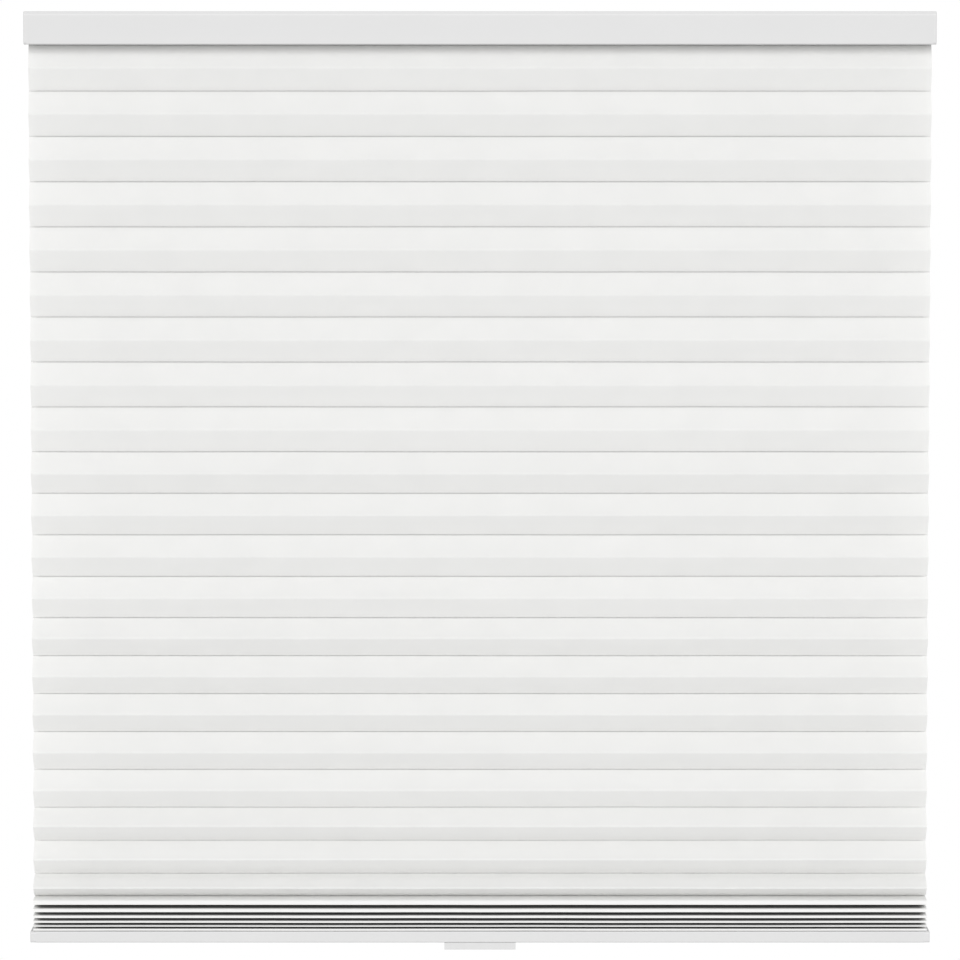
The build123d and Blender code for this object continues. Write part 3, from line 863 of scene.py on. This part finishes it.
def build_cords():
    """Lead each cord from its spool over its guide pulley and down to its knot."""
    cord = settings().blind_cord
    material = braided_cord(settings().blind_colours)
    for side, hand in (("left", -1), ("right", 1)):
        whole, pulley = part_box("lift_cord_" + side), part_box("guide_pulley_" + side)
        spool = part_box("cord_spool_" + side)
        centre = (spool[0] + spool[1]) / 2
        wheel = (pulley[0] + pulley[1]) / 2
        level = wheel.z + cord.wrap
        drop = wheel.x + hand * cord.wrap
        knot_top = whole[0].z + cord.knot
        # The cord leaves the back of its spool, bends where its guide turns it, and falls.
        bend = (hand * HOUSING_END, cord.spool, level)
        turns = turn_points(centre, cord.spool, math.pi / 2, hand * 4 * cord.turns,
                            -cord.diameter, level)
        before_wheel = (drop - hand * 2 * cord.wrap, 0.0, level)
        arc = [
            (wheel.x, 0.0, level, 1.0), (drop, 0.0, level, math.sqrt(0.5)),
            (drop, 0.0, wheel.z, 1.0),
        ]
        route = list(reversed(turns)) + [(*bend, 1.0), (*before_wheel, 1.0)] + arc
        run = make_cord("cord_run_" + side, route, cord, material)
        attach(run, "headrail")
        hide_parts("lift_cord_" + side)

        fall = make_cord(
            "cord_drop_" + side,
            [(drop, 0.0, z, 1.0) for z in (wheel.z, (wheel.z + knot_top) / 2, knot_top)],
            cord, material,
        )
        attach(fall, "headrail")
        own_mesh(fall)
        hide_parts("lift_cord_" + side)

        knot = make_knot("cord_knot_" + side, Vector((drop, 0.0, whole[0].z)), cord, material)
        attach(knot, "bottom_rail")
        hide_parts("lift_cord_" + side)


def make_knot(name, foot, cord, material):
    """Turn a short barrel of cord with three wound ridges, as a melted knot has."""
    shape = bmesh.new()
    rings, sides = 13, 16
    rows = []
    for ring in range(rings):
        share = ring / (rings - 1)
        swell = math.sin(math.pi * min(max(share, 0.03), 0.97)) ** 0.35
        ridge = 1 - 0.07 * (1 + math.cos(6 * math.pi * share)) / 2
        radius = cord.knot / 2 * swell * ridge
        rows.append([
            shape.verts.new(foot + Vector((
                radius * math.cos(math.tau * side / sides),
                radius * math.sin(math.tau * side / sides),
                cord.knot * share,
            )))
            for side in range(sides)
        ])
    for lower, upper in zip(rows, rows[1:]):
        for side in range(sides):
            following = (side + 1) % sides
            shape.faces.new((lower[side], lower[following], upper[following], upper[side]))
    shape.faces.new(reversed(rows[0]))
    shape.faces.new(rows[-1])
    return smooth(paint(from_bmesh(name, shape), material), math.radians(40))


# Finishes of the construction model's own pieces

def finish_nodes(table):
    for names, material in table:
        for name in names:
            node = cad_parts[name]
            for place in range(len(node.material_slots)):
                node.material_slots[place].material = material


def sides(name):
    return [name + "_left", name + "_right"]


def finish_rails():
    colours = settings().blind_colours
    caps = moulded_plastic("moulded_abs_caps", colours.caps, 0.40, 0.8)
    finish_nodes([
        (["headrail", "bottom_rail"], powder_coat(colours)),
        (sides("headrail_end_cap") + sides("bottom_rail_end_cap"), caps),
        (["handle"], moulded_plastic("moulded_abs_handle", colours.handle, 0.42, 0.8)),
        (["top_strip", "bottom_strip"], moulded_plastic("extruded_pvc", colours.strip, 0.35, 1.5)),
        (sides("mounting_bracket"),
         plated_metal("zinc_plated_sheet", colours.zinc, 0.35, (0.1, 1, 1))),
    ])


def finish_motor():
    colours = settings().blind_colours
    finish_nodes([
        (["motor_base", "motor_cover"] + sides("cord_guide"),
         moulded_plastic("moulded_abs_housing", colours.housing, 0.5, 0.9)),
        (["storage_drum", "drive_drum"] + sides("cord_spool") + sides("guide_pulley")
         + sides("cord_anchor"),
         moulded_plastic("moulded_acetal", colours.acetal, 0.32, 0.7)),
        (["motor_spring"], plated_metal("blued_spring_strip", colours.spring, 0.3, (1, 1, 0.1))),
        (["drum_axles", "pulley_axles"],
         plated_metal("ground_steel", colours.steel, 0.28, (1, 1, 0.2))),
        (["motor_screws", "handle_screws"],
         plated_metal("zinc_plated_screws", colours.zinc, 0.32, (1, 1, 1))),
    ])


# Stage

def build_stage():
    stage = settings().blind_stage
    colours = settings().blind_colours
    low = cad_box[0]
    size = stage.reach
    level = low.z - stage.drop
    floor = new_mesh(
        "studio_floor",
        [(-size, -size, level), (size, -size, level), (size, size, level), (-size, size, level)],
        faces=[(0, 1, 2, 3)],
    )
    paint(floor, studio_floor(colours))

    camera = bpy.data.objects.new("camera", bpy.data.cameras.new("camera"))
    bpy.context.scene.collection.objects.link(camera)
    camera.data.sensor_width = SENSOR_WIDTH
    camera.data.lens = stage.lens
    camera.data.clip_end = 100.0
    camera.location = (0.0, -stage.distance, stage.aim + stage.distance * math.tan(stage.pitch))
    camera.rotation_euler = (math.pi / 2 - stage.pitch, 0.0, 0.0)
    bpy.context.scene.camera = camera

    world = bpy.context.scene.world or bpy.data.worlds.new("surround")
    bpy.context.scene.world = world
    world.use_nodes = True
    background = next(node for node in world.node_tree.nodes if node.type == "BACKGROUND")
    background.inputs["Color"].default_value = (1.0, 1.0, 1.0, 1.0)
    # The surround looks white, and lights the blind a little less than that.
    seen = add_node(world.node_tree, "ShaderNodeLightPath").outputs["Is Camera Ray"]
    strength = add_node(world.node_tree, "ShaderNodeMapRange", {0: seen, 3: stage.sky, 4: 1.0})
    world.node_tree.links.new(strength.outputs[0], background.inputs["Strength"])

    key = add_light("key", "SUN", KEY_PLACE, stage.key)
    key.angle = KEY_SPREAD
    top = add_light("top", "AREA", TOP_PLACE, stage.top)
    top.shape = "RECTANGLE"
    top.size, top.size_y = TOP_SIZE
    bpy.context.scene.view_settings.view_transform = "Standard"
    # White cloth passes light from fold to fold many times.
    bpy.context.scene.cycles.diffuse_bounces = 8


def add_light(name, kind, place, power):
    """Add a light that shines from its place towards the headrail."""
    lamp = bpy.data.lights.new(name, kind)
    lamp.energy = power
    thing = bpy.data.objects.new(name, lamp)
    bpy.context.scene.collection.objects.link(thing)
    thing.location = place
    thing.rotation_euler = (-place).to_track_quat("-Z", "Y").to_euler()
    return lamp


class BLIND_OT_stage(bpy.types.Operator):
    """Make the camera, floor and soft light"""

    bl_idname = "blind.stage"
    bl_label = "Stage"

    def execute(self, context):
        build_stage()
        return {"FINISHED"}


class BLIND_OT_fabric(bpy.types.Operator):
    """Make the honeycomb fabric: its open cells, its stack and the folds in the rails"""

    bl_idname = "blind.fabric"
    bl_label = "Fabric"

    def execute(self, context):
        build_fabric()
        return {"FINISHED"}


class BLIND_OT_cords(bpy.types.Operator):
    """Make the two lift cords: their turns on the spools, their runs, drops and knots"""

    bl_idname = "blind.cords"
    bl_label = "Lift cords"

    def execute(self, context):
        build_cords()
        return {"FINISHED"}


class BLIND_OT_rails(bpy.types.Operator):
    """Finish the rails, end caps, handle, strips and brackets"""

    bl_idname = "blind.rails"
    bl_label = "Rails"

    def execute(self, context):
        finish_rails()
        return {"FINISHED"}


class BLIND_OT_motor(bpy.types.Operator):
    """Finish the spring motor and the cord guides"""

    bl_idname = "blind.motor"
    bl_label = "Spring motor"

    def execute(self, context):
        finish_motor()
        return {"FINISHED"}


class BLIND_PT_panel(bpy.types.Panel):
    """Lists the blind's sizes, colours and pieces"""

    bl_idname = "BLIND_PT_panel"
    bl_label = "Cellular Blind"
    bl_space_type = "VIEW_3D"
    bl_region_type = "UI"
    bl_category = "Blind"

    def draw(self, context):
        for group in (context.scene.blind_fabric, context.scene.blind_cord,
                      context.scene.blind_colours, context.scene.blind_stage):
            box = self.layout.box()
            for name in group.__annotations__:
                box.prop(group, name)
        for operator in OPERATORS:
            self.layout.operator(operator.bl_idname)


OPERATORS = (BLIND_OT_stage, BLIND_OT_fabric, BLIND_OT_cords, BLIND_OT_rails, BLIND_OT_motor)
GROUPS = {
    "blind_fabric": BlindFabricSettings, "blind_cord": BlindCordSettings,
    "blind_colours": BlindColours, "blind_stage": BlindStageSettings,
}
CLASSES = (*GROUPS.values(), *OPERATORS, BLIND_PT_panel)


def register():
    for kind in CLASSES:
        bpy.utils.register_class(kind)
    for name, group in GROUPS.items():
        setattr(bpy.types.Scene, name, bpy.props.PointerProperty(type=group))


def unregister():
    for name in GROUPS:
        delattr(bpy.types.Scene, name)
    for kind in reversed(CLASSES):
        bpy.utils.unregister_class(kind)


def main():
    register()
    bpy.ops.blind.stage()
    bpy.ops.blind.fabric()
    bpy.ops.blind.cords()
    bpy.ops.blind.rails()
    bpy.ops.blind.motor()


if __name__ == "__main__":
    main()
